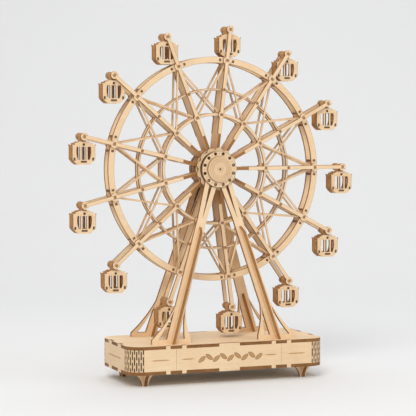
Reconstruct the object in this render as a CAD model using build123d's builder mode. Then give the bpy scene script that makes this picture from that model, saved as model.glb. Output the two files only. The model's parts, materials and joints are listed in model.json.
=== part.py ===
import os
from math import acos, atan2, cos, degrees, hypot, pi, radians, sin, sqrt, tan

from build123d import *

os.makedirs("parts", exist_ok=True)

# A laser-cut plywood ferris wheel on a box base, turned by a crank at the back.
# Millimetres and degrees. X is to the right, Y to the back and Z up, and the
# origin is under the middle of the base, on the surface that the feet stand on.

# Plywood sheets
base_sheet = 3.0
leg_sheet = 3.0
leg_rib_sheet = 2.6
wheel_sheet = 2.0
spoke_rib_sheet = 2.8
cabin_sheet = 1.6

# Clearances, on each side
glue_fit = 0.05
running_fit = 0.08
seam_gap = 0.1
panel_seam = 0.35

# Base box
base_length = 190.0
base_depth = 85.0
base_corner = 14.0
panel_height = 19.5
centre_panel_length = 102.0
wide_tab = 20.0
small_tab = 4.2
tab_from_seam = 7.6
end_tab = 9.5
end_tab_spacing = 27.0

# Slit bends at the four corners of the base
bend_columns = 11
slit_width = 0.95
slit_length = 7.4
edge_slit_length = 3.6

# Feet
foot_height = 11.0
foot_top_width = 20.0
foot_tip_width = 5.5
foot_from_end = 18.0
foot_from_side = 11.5

# Wheel
spoke_count = 13
first_spoke_turn = 6.5
rim_radius = 100.0
rim_width = 5.6
inner_ring_radius = 50.0
inner_ring_width = 2.6
middle_ring_radius = 73.0
middle_ring_width = 1.8
ring_inner_face = 4.5
spoke_width = 3.4
spoke_root_radius = 32.5
inner_boss_radius = 3.0
rim_boss_radius = 3.7
arm_end_radius = 3.5
brace_width = 1.8
brace_from_rim_joint = 3.5
brace_from_inner_joint = 3.4
joint_pin_radius = 1.1
joint_pin_recess = 0.3
tie_from_joint = 6.5
tie_thickness = 2.0
tie_height = 5.0
tie_tab_height = 2.4

# Hub
axle_radius = 2.5
hub_disc_sheet = 2.7
hub_disc_radius = 17.8
hub_scallop_radius = 3.9
hub_plate_radius = 19.0
hub_plate_sheet = 3.0
hub_slot_radius = 13.0
rib_inner_radius = 8.5
flange_radius = 16.7
flange_sheet = 2.0
flange_back = 15.2
flange_holes = 12
flange_hole_radius = 1.2
flange_hole_circle = 14.4
cap_radius = 11.5
cap_sheet = 2.0
cap_grooves = (10.0, 8.4, 6.8)
cap_groove_width = 0.35
cap_groove_depth = 0.3
cap_ring_radius = 2.6
cap_hole_radius = 0.9
cap_hole_depth = 1.2
peg_recess = 0.8

# Cabins
cabin_width = 21.2
cabin_top = 4.4
cabin_crown_width = 9.2
cabin_eave_inset = 2.6
cabin_shoulder_drop = 3.0
cabin_ear = 0.5
cabin_eye_radius = 0.8
cabin_eye_rise = 1.9
cabin_window_drop = 1.6
cabin_window_sill = 4.4
cabin_window_bar = 1.9
cabin_middle_window = 3.8
cabin_side_window_foot = 1.5
cabin_side_window_head = 2.6
cabin_side_window_bulge = 3.1
cabin_wall_inset = 2.0
cabin_wall_tab = 2.6
cabin_wall_window = 6.0
cabin_floor_rise = 3.4
cabin_floor_tab = 5.4
cabin_inner_floor_width = 7.8
cabin_roof_width = 13.6
cabin_drop = 25.0
cabin_floor_width = 11.4
cabin_chamfer_height = 4.7
cabin_side_gap = 0.6
cabin_to_rim = 0.25
cabin_to_base = 2.2
cabin_pin_radius = 1.0
cabin_pin_proud = 0.4
pin_disc_radius = 3.1
pin_disc_sheet = 1.8
lug_radius = 3.0
lug_width = 5.0

# Legs
leg_foot_spacing = 103.0
leg_from_side = 11.5
leg_width = 10.5
leg_crotch_width = 8.6
leg_crotch_drop = 44.0
prong_width = 4.2
pad_radius = 2.6
flare_reach = 18.4
flare_height = 39.0
flare_strip = 2.8
flare_base = 4.0
leg_tab = 6.0
leg_tab_spacing = 22.0
leg_rib_proud = 5.8
leg_rib_length = 109.0
leg_slot_start = 5.5
leg_slot_length = 33.5
leg_rib_wedge = 6.0

# Crank and gears
gear_module = 1.0
wheel_teeth = 36
pinion_teeth = 12
pressure_angle = 25.0
tooth_addendum = 0.9
tooth_dedendum = 1.25
tooth_backlash = 0.16
gear_sheet = 2.7
crank_shaft_radius = 2.0
crank_sleeve_radius = 3.4
crank_plate_length = 30.0
crank_plate_height = 13.5
crank_plate_sheet = 2.0
crank_throw = 20.0
crank_arm_width = 9.0
crank_arm_sheet = 3.0
crank_arm_gap = 0.4
handle_radius = 4.5
handle_length = 13.0
handle_pin_radius = 1.5
handle_pin_head = 2.6
handle_pin_head_length = 1.2

# Heights and layers that follow from the sizes above
front, rear = 1, -1
left, right = -1, 1
base_bottom = foot_height
panel_bottom = base_bottom + base_sheet
panel_top = panel_bottom + panel_height
base_top = panel_top + base_sheet
rim_outer = rim_radius + rim_width / 2
rim_inner = rim_radius - rim_width / 2
cabin_reach = hypot(cabin_floor_width / 2, cabin_drop)
pivot_radius = rim_outer + cabin_to_rim + cabin_reach
hub_z = base_top + cabin_to_base + cabin_drop + pivot_radius
spoke_inner_face = ring_inner_face + wheel_sheet
spoke_outer_face = spoke_inner_face + wheel_sheet
hub_disc_face = spoke_outer_face + hub_disc_sheet
flange_face = flange_back + flange_sheet
cap_face = flange_face + cap_sheet
middle_ring_face = ring_inner_face - wheel_sheet
cabin_face = spoke_inner_face - cabin_side_gap
cabin_inside = cabin_face - cabin_sheet
spoke_step = 360 / spoke_count
first_spoke = 90 - first_spoke_turn
seam_x = centre_panel_length / 2
leg_foot_x = leg_foot_spacing / 2
leg_foot_depth = base_depth / 2 - leg_from_side

# The two pegs of each leg sit in the flange holes nearest the bottom.
hole_step = 360 / flange_holes
inner_peg = (flange_hole_circle * sin(radians(hole_step / 2)), -flange_hole_circle * cos(radians(hole_step / 2)))
outer_peg = (flange_hole_circle * sin(radians(hole_step * 1.5)), -flange_hole_circle * cos(radians(hole_step * 1.5)))
head_x = (inner_peg[0] + outer_peg[0]) / 2
head_drop = -(inner_peg[1] + outer_peg[1]) / 2

# The legs lean in from their feet, and meet the back of the flange at their pegs.
leg_rise = hub_z - head_drop - base_top
leg_lean = atan2(leg_foot_depth - flange_back, leg_rise)
leg_head_face = flange_back - head_drop * tan(leg_lean)


def along_leg_sheet(height):
    """Place of a height above the ground, measured up the leaning sheet from the hub."""
    return (height - hub_z) / cos(leg_lean)


def upright_plane(side, face, height=0.0):
    """Plane that stands upright and faces one side, at a face's distance from the middle."""
    return Plane(origin=(0, -side * face, height), x_dir=(side, 0, 0), z_dir=(0, -side, 0))


def wheel_plane(side, face):
    """Upright plane about the hub, at a face's distance from the wheel's middle."""
    return upright_plane(side, face, hub_z)


def wheel_start(side):
    """Angle of the first spoke in a sketch on one side's wheel plane."""
    return first_spoke if side == front else 180 - first_spoke


def leg_plane(side, proud=0.0):
    """Plane of the outer faces of one side's legs, facing outwards and leaning in at the top."""
    sheet_plane = Plane(
        origin=(0, -side * leg_head_face, hub_z),
        x_dir=(side, 0, 0),
        z_dir=(0, -side * cos(leg_lean), sin(leg_lean)),
    )
    return sheet_plane.offset(proud)


def bar(start, end, width, mode=Mode.ADD):
    """A straight strip from one point of the sketch to another."""
    run, rise = end[0] - start[0], end[1] - start[1]
    middle = ((start[0] + end[0]) / 2, (start[1] + end[1]) / 2)
    with Locations(Location(middle, degrees(atan2(rise, run)))):
        Rectangle(hypot(run, rise), width, mode=mode)


def polar(radius, angle):
    """Point of the sketch at a radius and an angle."""
    return (radius * cos(radians(angle)), radius * sin(radians(angle)))


def pivot_place(index):
    """Centre of one cabin's pin, counted clockwise from the top, seen from the front."""
    turn = radians(first_spoke_turn + index * spoke_step)
    return (pivot_radius * sin(turn), 0, hub_z + pivot_radius * cos(turn))


# ---- Base box ----

seam_tab_places = [side * (seam_x + step) for side in (left, right) for step in (-tab_from_seam, tab_from_seam)]
end_tab_places = [-end_tab_spacing / 2, end_tab_spacing / 2]


def base_tab_notches(clearance):
    """The places in a base plate's edge where the tabs of the panels come through."""
    deep = 2 * (base_sheet + clearance)
    for edge in (-base_depth / 2, base_depth / 2):
        with Locations((0, edge)):
            Rectangle(wide_tab + 2 * clearance, deep, mode=Mode.SUBTRACT)
        with Locations(*[(x, edge) for x in seam_tab_places]):
            Rectangle(small_tab + 2 * clearance, deep, mode=Mode.SUBTRACT)
    for edge in (-base_length / 2, base_length / 2):
        with Locations(*[(edge, y) for y in end_tab_places]):
            Rectangle(deep, end_tab + 2 * clearance, mode=Mode.SUBTRACT)


with BuildPart() as base_bottom_plate:
    with BuildSketch(Plane.XY.offset(base_bottom)):
        RectangleRounded(base_length, base_depth, base_corner)
        base_tab_notches(glue_fit)
    extrude(amount=base_sheet)

with BuildPart() as base_top_plate:
    with BuildSketch(Plane.XY.offset(panel_top)):
        RectangleRounded(base_length, base_depth, base_corner)
        base_tab_notches(glue_fit)
    extrude(amount=base_sheet)
    for side in (front, rear):
        with BuildSketch(leg_plane(side, glue_fit)):
            slot_top, slot_bottom = along_leg_sheet(base_top + leg_sheet), along_leg_sheet(panel_top - leg_sheet)
            for foot in (-leg_foot_x, leg_foot_x):
                for step in (-leg_tab_spacing / 2, leg_tab_spacing / 2):
                    bar((foot + step, slot_bottom), (foot + step, slot_top), leg_tab + 2 * glue_fit)
        extrude(amount=-leg_sheet - 2 * glue_fit, mode=Mode.SUBTRACT)


def centre_panel(side):
    """Flat panel between the seams, with tabs up and down into the plates."""
    middle = -side * (base_depth - base_sheet) / 2
    with BuildPart() as panel:
        with BuildSketch(Plane.XY.offset(panel_bottom)):
            with Locations((0, middle)):
                Rectangle(centre_panel_length - panel_seam, base_sheet)
        extrude(amount=panel_height)
        with BuildSketch(Plane.XY.offset(base_bottom)):
            with Locations((0, middle)):
                Rectangle(wide_tab, base_sheet)
            with Locations(*[(x, middle) for x in seam_tab_places if abs(x) < seam_x]):
                Rectangle(small_tab, base_sheet)
        extrude(amount=base_top - base_bottom)
    return panel.part


def bend_slits(hand):
    """Places and turns of the slits through one wrap panel's two bends, with their lengths."""
    middle = (panel_bottom + panel_top) / 2
    quarter = panel_height / 4
    long_slits, edge_slits = [], []
    for side in (front, rear):
        centre = (hand * (base_length / 2 - base_corner), -side * (base_depth / 2 - base_corner))
        for column in range(bend_columns):
            turn = 90 * (column + 0.5) / bend_columns
            out = polar(base_corner - base_sheet / 2, turn)
            place = (centre[0] + hand * out[0], centre[1] - side * out[1])
            swing = turn if hand * side < 0 else -turn
            if column % 2:
                long_slits += [Location((*place, middle + up), (0, 0, swing)) for up in (-quarter, quarter)]
            else:
                long_slits.append(Location((*place, middle), (0, 0, swing)))
                for up in (-panel_height / 2, panel_height / 2):
                    edge_slits.append(Location((*place, middle + up), (0, 0, swing)))
    return long_slits, edge_slits


def wrap_panel(hand):
    """Panel that bends round two corners of the base, from the front seam to the rear seam."""
    long_slits, edge_slits = bend_slits(hand)
    with BuildPart() as panel:
        with BuildSketch(Plane.XY.offset(panel_bottom)):
            RectangleRounded(base_length, base_depth, base_corner)
            RectangleRounded(
                base_length - 2 * base_sheet,
                base_depth - 2 * base_sheet,
                base_corner - base_sheet,
                mode=Mode.SUBTRACT,
            )
            with Locations((-hand * (base_length / 2 - seam_x) / 2, 0)):
                Rectangle(base_length / 2 + seam_x, base_depth, mode=Mode.SUBTRACT)
        extrude(amount=panel_height)
        with Locations(*long_slits):
            Box(2 * base_sheet, slit_width, slit_length, mode=Mode.SUBTRACT)
        with Locations(*edge_slits):
            Box(2 * base_sheet, slit_width, 2 * edge_slit_length, mode=Mode.SUBTRACT)
        with BuildSketch(Plane.XY.offset(base_bottom)):
            for side in (front, rear):
                with Locations((hand * (seam_x + tab_from_seam), -side * (base_depth - base_sheet) / 2)):
                    Rectangle(small_tab, base_sheet)
            with Locations(*[(hand * (base_length - base_sheet) / 2, y) for y in end_tab_places]):
                Rectangle(base_sheet, end_tab)
        extrude(amount=base_top - base_bottom)
    return panel.part


with BuildPart() as base_cross_walls:
    with BuildSketch(Plane.XY.offset(panel_bottom)):
        with Locations((-seam_x, 0), (seam_x, 0)):
            Rectangle(base_sheet, base_depth - 2 * base_sheet)
    extrude(amount=panel_height)

# ---- Feet: a tapered plate and a rib, halved into each other ----

foot_places = [
    (hand * (base_length / 2 - foot_from_end), -side * (base_depth / 2 - foot_from_side))
    for side in (front, rear)
    for hand in (left, right)
]


def foot_outline():
    """Tapered foot with hollow sides, drawn up from its tip."""
    side_in = (foot_top_width + foot_tip_width) / 4 - foot_top_width / 12
    with BuildLine() as outline:
        Line((-foot_tip_width / 2, 0), (foot_tip_width / 2, 0))
        ThreePointArc(
            (foot_tip_width / 2, 0), (side_in, foot_height * 0.55), (foot_top_width / 2, foot_height)
        )
        Line((foot_top_width / 2, foot_height), (-foot_top_width / 2, foot_height))
        ThreePointArc(
            (-foot_top_width / 2, foot_height), (-side_in, foot_height * 0.55), (-foot_tip_width / 2, 0)
        )
    make_face(outline.edges())


foot_slot_width = base_sheet + 2 * glue_fit

with BuildPart() as foot_plates:
    for x, y in foot_places:
        with BuildSketch(Plane(origin=(x, y, 0), x_dir=(1, 0, 0), z_dir=(0, -1, 0))):
            foot_outline()
            with Locations((0, foot_height * 0.75)):
                Rectangle(foot_slot_width, foot_height / 2, mode=Mode.SUBTRACT)
        extrude(amount=base_sheet / 2, both=True)

with BuildPart() as foot_ribs:
    for x, y in foot_places:
        with BuildSketch(Plane(origin=(x, y, 0), x_dir=(0, 1, 0), z_dir=(1, 0, 0))):
            foot_outline()
            with Locations((0, foot_height * 0.25)):
                Rectangle(foot_slot_width, foot_height / 2 + 2 * glue_fit, mode=Mode.SUBTRACT)
        extrude(amount=base_sheet / 2, both=True)

# ---- Legs ----

leg_foot = (leg_foot_x, along_leg_sheet(base_top))
leg_head = (head_x, along_leg_sheet(hub_z - head_drop))
leg_run = hypot(leg_head[0] - leg_foot[0], leg_head[1] - leg_foot[1])
leg_up = ((leg_head[0] - leg_foot[0]) / leg_run, (leg_head[1] - leg_foot[1]) / leg_run)
leg_across = (leg_up[1], -leg_up[0])


def leg_point(up, across):
    """Point of the right-hand leg, up its centre line from the foot and across it, outwards."""
    return (
        leg_foot[0] + up * leg_up[0] + across * leg_across[0],
        leg_foot[1] + up * leg_up[1] + across * leg_across[1],
    )


crotch_up = (along_leg_sheet(hub_z - leg_crotch_drop) - leg_foot[1]) / leg_up[1]
below_foot = -2 * base_sheet / leg_up[1]


def leg_half_width(up):
    """Half the leg's width at a distance up its centre line, below the fork."""
    share = (up - below_foot) / (crotch_up - below_foot)
    return (leg_width + (leg_crotch_width - leg_width) * share) / 2


def leg_edge(hand, height, inset):
    """Point beside the leg's edge, at a height above the ground and an inset inside the edge."""
    across = hand * (leg_half_width(height / leg_up[1]) - inset)
    return leg_point((height + across * leg_up[0]) / leg_up[1], across)


def foot_flare(hand, reach, height, base, tip, inset, mode=Mode.ADD):
    """One flared side of a leg's foot: down a hollow curve to a tip, and back above the ground."""
    corner, top = leg_edge(hand, base, inset), leg_edge(hand, height, inset)
    ground = (leg_foot[0] + hand * reach, leg_foot[1] + base)
    end = (ground[0], ground[1] + tip)
    hollow = ((top[0] + end[0]) / 2 * 0.86 + corner[0] * 0.14, (top[1] + end[1]) / 2 * 0.86 + corner[1] * 0.14)
    with BuildLine() as outline:
        Line(corner, top)
        ThreePointArc(top, hollow, end)
        if tip:
            Line(end, ground)
        Line(ground, corner)
    make_face(outline.edges(), mode=mode)


def leg_plate(side, hand):
    """Forked leg with a flared foot, tabs into the top plate and a slot for its rib."""
    half, crotch_half = leg_half_width(below_foot), leg_half_width(crotch_up)
    prong_offset = crotch_half - prong_width / 2
    foot_span = 2 * flare_reach
    with BuildPart() as leg:
        with BuildSketch(leg_plane(side)) as outline:
            with BuildLine():
                Polyline(
                    leg_point(below_foot, -half),
                    leg_point(below_foot, half),
                    leg_point(crotch_up, crotch_half),
                    leg_point(crotch_up, -crotch_half),
                    close=True,
                )
            make_face()
            bar(leg_point(crotch_up, -prong_offset), (inner_peg[0], inner_peg[1] / cos(leg_lean)), prong_width)
            bar(leg_point(crotch_up, prong_offset), (outer_peg[0], outer_peg[1] / cos(leg_lean)), prong_width)
            for peg in (inner_peg, outer_peg):
                with Locations((peg[0], peg[1] / cos(leg_lean))):
                    Circle(pad_radius)
            for turn in (left, right):
                foot_flare(turn, flare_reach, flare_height, -base_sheet, flare_base + base_sheet, leg_crotch_width / 8)
            with Locations((leg_foot[0], leg_foot[1] - base_sheet)):
                Rectangle(foot_span, 2 * base_sheet)
            for turn in (left, right):
                window_reach, window_height = flare_reach - 2 * flare_strip, flare_height - 3 * flare_strip
                foot_flare(turn, window_reach, window_height, flare_base, 0, 0, Mode.SUBTRACT)
            slot_width = leg_rib_sheet + 2 * glue_fit
            bar(leg_point(leg_slot_start, 0), leg_point(leg_slot_start + leg_slot_length, 0), slot_width, Mode.SUBTRACT)
            if side * hand < 0:
                mirror(about=Plane.YZ, mode=Mode.REPLACE)
        extrude(amount=-leg_sheet)
        ground = (hand * leg_foot_x, -side * leg_foot_depth)
        tab_edge = (leg_tab_spacing + leg_tab) / 2
        with Locations((ground[0], ground[1], panel_top - base_sheet)):
            Box(2 * foot_span, 8 * leg_sheet, 2 * base_sheet, mode=Mode.SUBTRACT)
        with Locations((ground[0], ground[1], base_top - base_sheet)):
            Box(leg_tab_spacing - leg_tab, 8 * leg_sheet, 2 * base_sheet, mode=Mode.SUBTRACT)
        for step in (left, right):
            with Locations((ground[0] + step * (tab_edge + foot_span / 2), ground[1], base_top - base_sheet)):
                Box(foot_span, 8 * leg_sheet, 2 * base_sheet, mode=Mode.SUBTRACT)
        with BuildSketch(wheel_plane(side, flange_back)):
            Circle(flange_radius + seam_gap)
        extrude(amount=flange_sheet, mode=Mode.SUBTRACT)
        with BuildSketch(wheel_plane(side, 0)):
            with Locations(*peg_places(hand * side)):
                Circle(flange_hole_radius)
        extrude(amount=flange_face, mode=Mode.SUBTRACT)
    return leg.part


def peg_places(turn):
    """Places of one leg's two pegs about the hub, to one side."""
    return [(turn * peg[0], peg[1]) for peg in (inner_peg, outer_peg)]


def leg_rib(side, hand):
    """Rib that stands on a leg's outer face, hooks through its slot and spreads to a wedge inside."""
    turn = side * hand
    sheet_plane = leg_plane(side)
    origin = sheet_plane.from_local_coords(Vector(turn * leg_foot[0], leg_foot[1], 0))
    upper = sheet_plane.from_local_coords(Vector(turn * leg_head[0], leg_head[1], 0))
    along = (upper - origin).normalized()
    slot_end = leg_slot_start + leg_slot_length - glue_fit
    hook_start = leg_slot_start + glue_fit
    inside = -leg_sheet - glue_fit
    with BuildPart() as rib:
        with BuildSketch(Plane(origin=origin, x_dir=along, z_dir=along.cross(sheet_plane.z_dir))):
            with BuildLine():
                Polyline(
                    (below_foot, 0),
                    (below_foot, leg_rib_proud),
                    (leg_rib_length - leg_rib_proud, leg_rib_proud),
                    (leg_rib_length, 0),
                    (slot_end, 0),
                    (slot_end, inside),
                    (below_foot, inside - leg_rib_wedge),
                    (below_foot, inside),
                    (hook_start, inside),
                    (hook_start, 0),
                    close=True,
                )
            make_face()
        extrude(amount=leg_rib_sheet / 2, both=True)
        with Locations((hand * leg_foot_x, -side * leg_foot_depth, base_top - 4 * base_sheet)):
            Box(leg_width * 4, leg_width * 6, 8 * base_sheet, mode=Mode.SUBTRACT)
    return rib.part


# ---- Hub flanges, caps and pegs, which stand still ----


def hub_flange(side):
    """Round plate with a ring of holes, which carries the axle and the heads of two legs."""
    with BuildPart() as flange:
        with BuildSketch(wheel_plane(side, flange_back)):
            Circle(flange_radius)
            Circle(axle_radius + running_fit, mode=Mode.SUBTRACT)
            with PolarLocations(flange_hole_circle, flange_holes, 270 + hole_step / 2):
                Circle(flange_hole_radius, mode=Mode.SUBTRACT)
        extrude(amount=flange_sheet)
    return flange.part


def hub_cap(side):
    """Round cap over the end of the axle, with turned grooves and a small blind hole."""
    with BuildPart() as cap:
        with BuildSketch(wheel_plane(side, flange_face)):
            Circle(cap_radius)
        extrude(amount=cap_sheet)
        with BuildSketch(wheel_plane(side, cap_face)):
            for radius in (*cap_grooves, cap_ring_radius):
                Circle(radius)
                Circle(radius - cap_groove_width, mode=Mode.SUBTRACT)
        extrude(amount=-cap_groove_depth, mode=Mode.SUBTRACT)
        with BuildSketch(wheel_plane(side, cap_face)):
            Circle(cap_hole_radius)
        extrude(amount=-cap_hole_depth, mode=Mode.SUBTRACT)
    return cap.part


with BuildPart() as flange_pegs:
    for side in (front, rear):
        peg_inner_end = leg_head_face + head_drop * tan(leg_lean) - leg_sheet
        with BuildSketch(wheel_plane(side, peg_inner_end)):
            with Locations(*peg_places(left), *peg_places(right)):
                Circle(flange_hole_radius - glue_fit)
        extrude(amount=flange_face - peg_recess - peg_inner_end)

# ---- Wheel ----

with BuildPart() as axle:
    with BuildSketch(wheel_plane(front, 0)):
        Circle(axle_radius)
    extrude(amount=flange_face - seam_gap, both=True)

with BuildPart() as front_hub_disc:
    with BuildSketch(wheel_plane(front, spoke_outer_face)):
        Circle(hub_disc_radius)
        with PolarLocations(hub_disc_radius - hub_scallop_radius / 2, spoke_count, first_spoke):
            Circle(hub_scallop_radius)
        Circle(axle_radius + glue_fit, mode=Mode.SUBTRACT)
    extrude(amount=hub_disc_sheet)


def hub_plate(side):
    """Inner hub plate, slotted from its edge for the inner ends of the ribs."""
    with BuildPart() as plate:
        with BuildSketch(wheel_plane(side, spoke_inner_face)):
            Circle(hub_plate_radius)
            Circle(axle_radius + glue_fit, mode=Mode.SUBTRACT)
            with PolarLocations(hub_slot_radius + hub_plate_radius / 2, spoke_count, wheel_start(side)):
                Rectangle(hub_plate_radius, spoke_rib_sheet + 2 * glue_fit, mode=Mode.SUBTRACT)
        extrude(amount=-hub_plate_sheet)
    return plate.part


rib_joint_half = inner_boss_radius + 2 * glue_fit
rib_rim_step = rim_inner - 2 * brace_from_rim_joint
rib_slot_half = middle_ring_width / 2 + glue_fit
rib_profile = [
    (spoke_root_radius, spoke_outer_face),
    (spoke_root_radius, spoke_inner_face),
    (inner_ring_radius - rib_joint_half, spoke_inner_face),
    (inner_ring_radius - rib_joint_half, ring_inner_face),
    (inner_ring_radius + rib_joint_half, ring_inner_face),
    (inner_ring_radius + rib_joint_half, spoke_inner_face),
    (middle_ring_radius - rib_slot_half, spoke_inner_face),
    (middle_ring_radius - rib_slot_half, middle_ring_face - glue_fit),
    (middle_ring_radius + rib_slot_half, middle_ring_face - glue_fit),
    (middle_ring_radius + rib_slot_half, spoke_inner_face),
    (rib_rim_step, spoke_inner_face),
    (rib_rim_step, ring_inner_face),
    (rim_outer, ring_inner_face),
]
hub_notch = [
    (hub_slot_radius, spoke_inner_face + glue_fit),
    (hub_slot_radius, spoke_inner_face - hub_plate_sheet - glue_fit),
    (rib_inner_radius, spoke_inner_face - hub_plate_sheet - glue_fit),
]
rib_front_half = [(rib_inner_radius, spoke_outer_face), *rib_profile]
rib_rear_half = [(r, -y) for r, y in reversed(rib_front_half)]
rib_outline = [
    *rib_front_half,
    *rib_rear_half,
    (rib_inner_radius, -spoke_inner_face - glue_fit),
    *[(r, -y) for r, y in hub_notch],
    *reversed(hub_notch),
    (rib_inner_radius, spoke_inner_face + glue_fit),
]

with BuildPart() as spoke_ribs:
    for index in range(spoke_count):
        turn = radians(first_spoke_turn + index * spoke_step)
        outward = Vector(sin(turn), 0, cos(turn))
        with BuildSketch(Plane(origin=(0, 0, hub_z), x_dir=outward, z_dir=outward.cross(Vector(0, -1, 0)))):
            with BuildLine():
                Polyline(*rib_outline, close=True)
            make_face()
        extrude(amount=spoke_rib_sheet / 2, both=True)


def spokes(side):
    """Flat spokes that run from the hub over the rings and past the rim to the cabin pins."""
    with BuildPart() as spoke_set:
        with BuildSketch(wheel_plane(side, spoke_inner_face)):
            with PolarLocations(0, spoke_count, wheel_start(side)):
                bar((spoke_root_radius + seam_gap, 0), (pivot_radius, 0), spoke_width)
                for radius, boss in (
                    (inner_ring_radius, inner_boss_radius),
                    (rim_radius, rim_boss_radius),
                    (pivot_radius, arm_end_radius),
                ):
                    with Locations((radius, 0)):
                        Circle(boss)
                with Locations((inner_ring_radius, 0), (rim_radius, 0)):
                    Circle(joint_pin_radius + glue_fit, mode=Mode.SUBTRACT)
                with Locations((pivot_radius, 0)):
                    Circle(cabin_pin_radius + glue_fit, mode=Mode.SUBTRACT)
        extrude(amount=wheel_sheet)
    return spoke_set.part


tie_turn = degrees(tie_from_joint / rim_radius)


def tie_turns(side):
    """Angles of the ties, one on each side of every joint of the rim."""
    return [
        wheel_start(side) + index * spoke_step + step * tie_turn
        for index in range(spoke_count)
        for step in (-1, 1)
    ]


def rim_segments(side):
    """Rim in one segment from each joint to the next, slotted for the tabs of the ties."""
    with BuildPart() as segments:
        with BuildSketch(wheel_plane(side, ring_inner_face)):
            Circle(rim_outer)
            Circle(rim_inner, mode=Mode.SUBTRACT)
            with PolarLocations(rim_radius, spoke_count, wheel_start(side)):
                Rectangle(2 * rim_width, seam_gap, mode=Mode.SUBTRACT)
                Circle(joint_pin_radius + glue_fit, mode=Mode.SUBTRACT)
            with Locations(*[Location(polar(rim_radius, turn), turn) for turn in tie_turns(side)]):
                Rectangle(tie_tab_height + 2 * glue_fit, tie_thickness + 2 * glue_fit, mode=Mode.SUBTRACT)
        extrude(amount=wheel_sheet)
    return segments.part


with BuildPart() as rim_ties:
    for height, reach in ((tie_height, ring_inner_face), (tie_tab_height, spoke_inner_face)):
        with BuildSketch(wheel_plane(front, 0)):
            with Locations(*[Location(polar(rim_radius, turn), turn) for turn in tie_turns(front)]):
                Rectangle(height, tie_thickness)
        extrude(amount=reach, both=True)


def inner_ring(side):
    """Ring at half the rim's radius, with a boss behind every spoke."""
    with BuildPart() as ring:
        with BuildSketch(wheel_plane(side, ring_inner_face)):
            Circle(inner_ring_radius + inner_ring_width / 2)
            Circle(inner_ring_radius - inner_ring_width / 2, mode=Mode.SUBTRACT)
            with PolarLocations(inner_ring_radius, spoke_count, wheel_start(side)):
                Circle(inner_boss_radius)
                Circle(joint_pin_radius + glue_fit, mode=Mode.SUBTRACT)
        extrude(amount=wheel_sheet)
    return ring.part


def middle_ring(side):
    """Slender ring let into the ribs, behind the braces."""
    with BuildPart() as ring:
        with BuildSketch(wheel_plane(side, middle_ring_face)):
            Circle(middle_ring_radius + middle_ring_width / 2)
            Circle(middle_ring_radius - middle_ring_width / 2, mode=Mode.SUBTRACT)
        extrude(amount=wheel_sheet)
    return ring.part


def braces(side):
    """Crossing strips from each joint of the rim to the two next joints of the inner ring."""
    layers = []
    for lean, face in ((1, ring_inner_face + wheel_sheet / 2), (-1, ring_inner_face)):
        outer_joint = (rim_radius, 0)
        inner_joint = polar(inner_ring_radius, lean * spoke_step)
        run, rise = inner_joint[0] - outer_joint[0], inner_joint[1] - outer_joint[1]
        length = hypot(run, rise)
        from_rim, to_ring = brace_from_rim_joint / length, 1 - brace_from_inner_joint / length
        start = (outer_joint[0] + run * from_rim, rise * from_rim)
        end = (outer_joint[0] + run * to_ring, rise * to_ring)
        with BuildPart() as layer:
            with BuildSketch(wheel_plane(side, face)):
                with PolarLocations(0, spoke_count, wheel_start(side)):
                    bar(start, end, brace_width)
            extrude(amount=wheel_sheet / 2)
        layers.append(layer.part)
    return Compound(children=[strip for layer in layers for strip in layer.solids()])


with BuildPart() as joint_pins:
    for side in (front, rear):
        with BuildSketch(wheel_plane(side, ring_inner_face)):
            for radius in (inner_ring_radius, rim_radius):
                with PolarLocations(radius, spoke_count, wheel_start(side)):
                    Circle(joint_pin_radius)
        extrude(amount=spoke_outer_face - joint_pin_recess - ring_inner_face)

with BuildPart() as cabin_pins:
    with BuildSketch(wheel_plane(front, 0)):
        with PolarLocations(pivot_radius, spoke_count, first_spoke):
            Circle(cabin_pin_radius)
    extrude(amount=spoke_outer_face + cabin_pin_proud, both=True)

with BuildPart() as pin_discs:
    for side in (front, rear):
        with BuildSketch(wheel_plane(side, spoke_inner_face - pin_disc_sheet)):
            with PolarLocations(pivot_radius, spoke_count, wheel_start(side)):
                Circle(pin_disc_radius)
                Circle(cabin_pin_radius + glue_fit, mode=Mode.SUBTRACT)
        extrude(amount=pin_disc_sheet)

# ---- Gears ----


def roll_angle(radius, base_radius):
    """Angle by which a tooth's flank has rolled off its base circle at a radius."""
    slope = acos(min(1.0, base_radius / radius))
    return tan(slope) - slope


def gear_outline(teeth, start):
    """A toothed wheel with rolled flanks, the first tooth at the start angle."""
    pitch_radius = gear_module * teeth / 2
    base_radius = pitch_radius * cos(radians(pressure_angle))
    tip_radius = pitch_radius + gear_module * tooth_addendum
    root_radius = pitch_radius - gear_module * tooth_dedendum
    half_tooth = pi / (2 * teeth) - tooth_backlash / (4 * pitch_radius) + roll_angle(pitch_radius, base_radius)
    flank_start = max(base_radius, root_radius)
    radii = [flank_start + (tip_radius - flank_start) * share for share in (0, 0.25, 0.6, 1)]
    half_angles = [degrees(half_tooth - roll_angle(radius, base_radius)) for radius in radii]
    tooth_foot = root_radius - gear_module * tooth_backlash
    Circle(root_radius)
    for tooth in range(teeth):
        middle = start + tooth * 360 / teeth
        upper = [polar(radius, middle + half) for radius, half in zip(radii, half_angles)]
        lower = [polar(radius, middle - half) for radius, half in zip(radii, half_angles)]
        upper_foot = polar(tooth_foot, middle + half_angles[0])
        lower_foot = polar(tooth_foot, middle - half_angles[0])
        with BuildLine() as outline:
            Line(upper_foot, upper[0])
            Spline(*upper)
            ThreePointArc(upper[-1], polar(tip_radius, middle), lower[-1])
            Spline(*reversed(lower))
            Line(lower[0], lower_foot)
            Line(lower_foot, upper_foot)
        make_face(outline.edges())


shaft_z = -gear_module * (wheel_teeth + pinion_teeth) / 2
shaft_height = hub_z + shaft_z


def shaft_plane(face):
    """Upright plane about the crank shaft, facing back, at a distance behind the wheel's middle."""
    return upright_plane(rear, face, shaft_height)


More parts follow.
